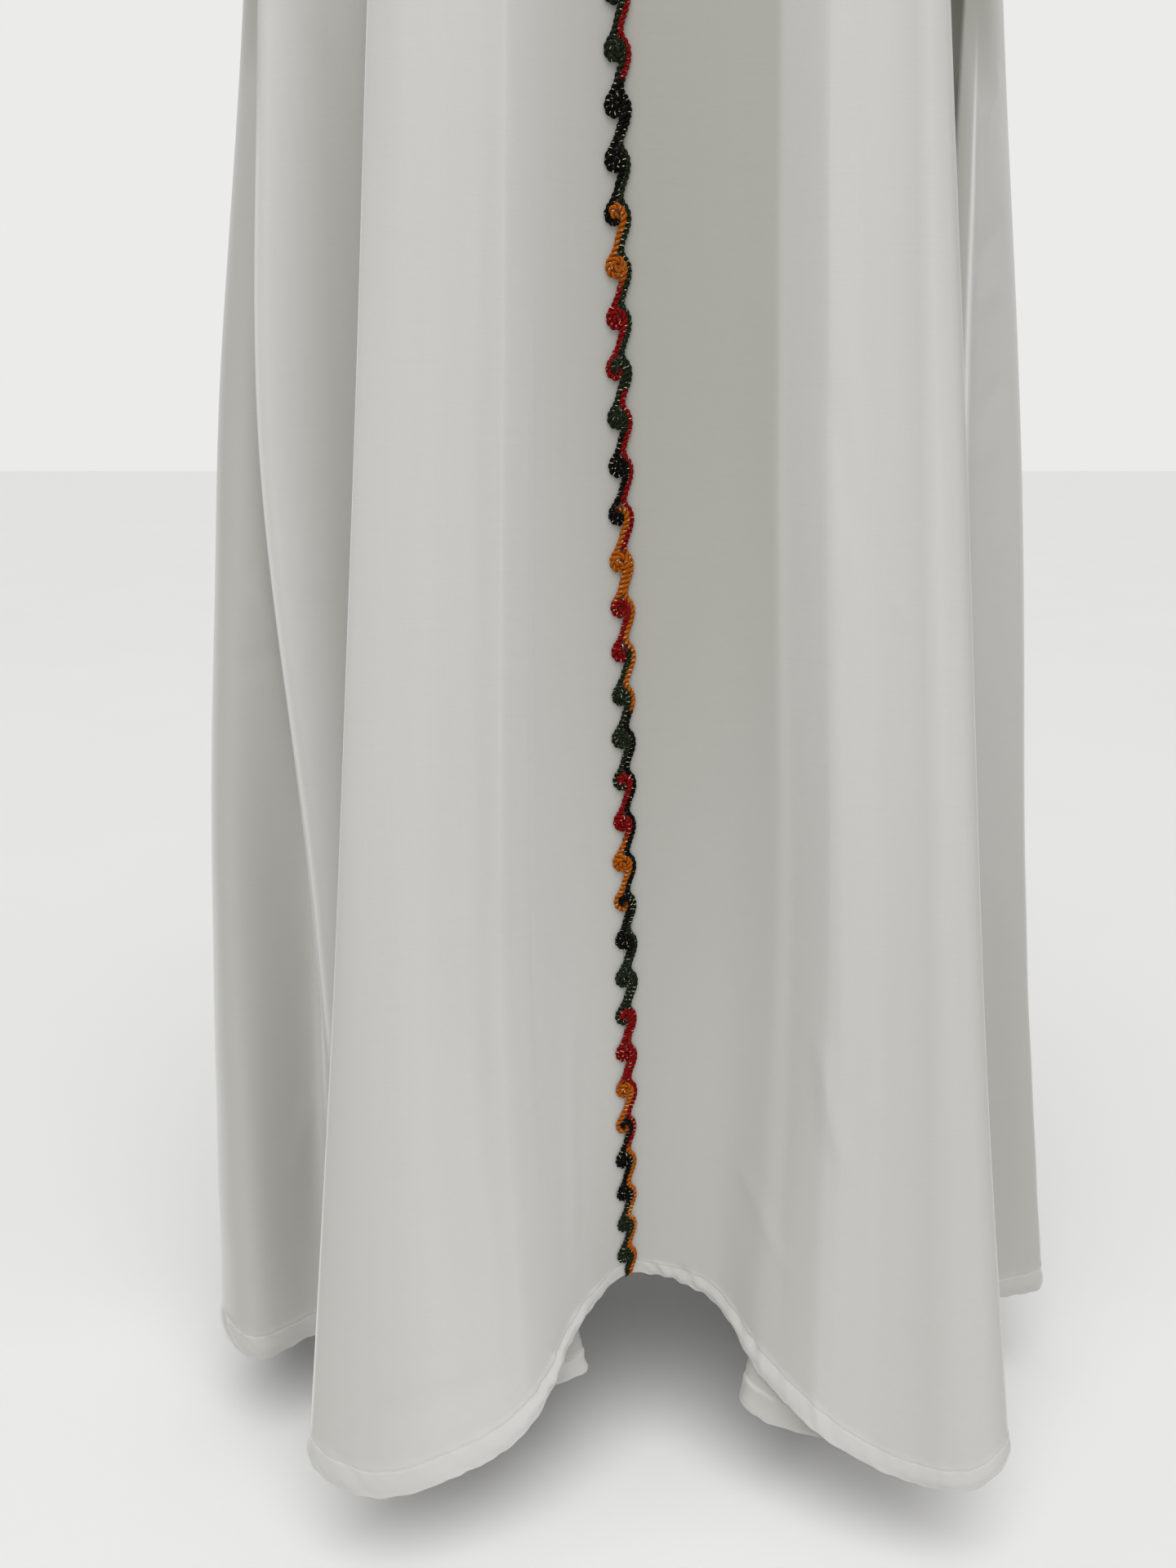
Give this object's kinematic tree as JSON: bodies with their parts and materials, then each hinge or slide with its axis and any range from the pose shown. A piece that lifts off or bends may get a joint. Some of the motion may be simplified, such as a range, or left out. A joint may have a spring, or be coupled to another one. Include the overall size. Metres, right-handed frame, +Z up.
{
  "type": "full-length abaya",
  "caption": "Long A-line abaya in satin crepe, closed at the front under a scroll braid, with long plain sleeves, hanging in its worn form.",
  "frame": {"origin": "midway between the two points where the shoulder seams meet the neckline, where the garment hangs on its wearer", "axes": "+Z up, +X along the shoulders towards the sleeve at the viewer's right, the front faces -Y"},
  "size_m": [1.604, 0.515, 1.4616],
  "materials": {
    "satin": "soft satin, ivory white",
    "braid": "twisted cord with glints, dyed green, black, red and orange in turn"
  },
  "bodies": {
    "root": {"front_left": "satin", "front_right": "satin", "back_left": "satin", "back_right": "satin", "sleeve_left": "satin", "sleeve_right": "satin", "centre_braid": "braid"}
  },
  "joints": []
}
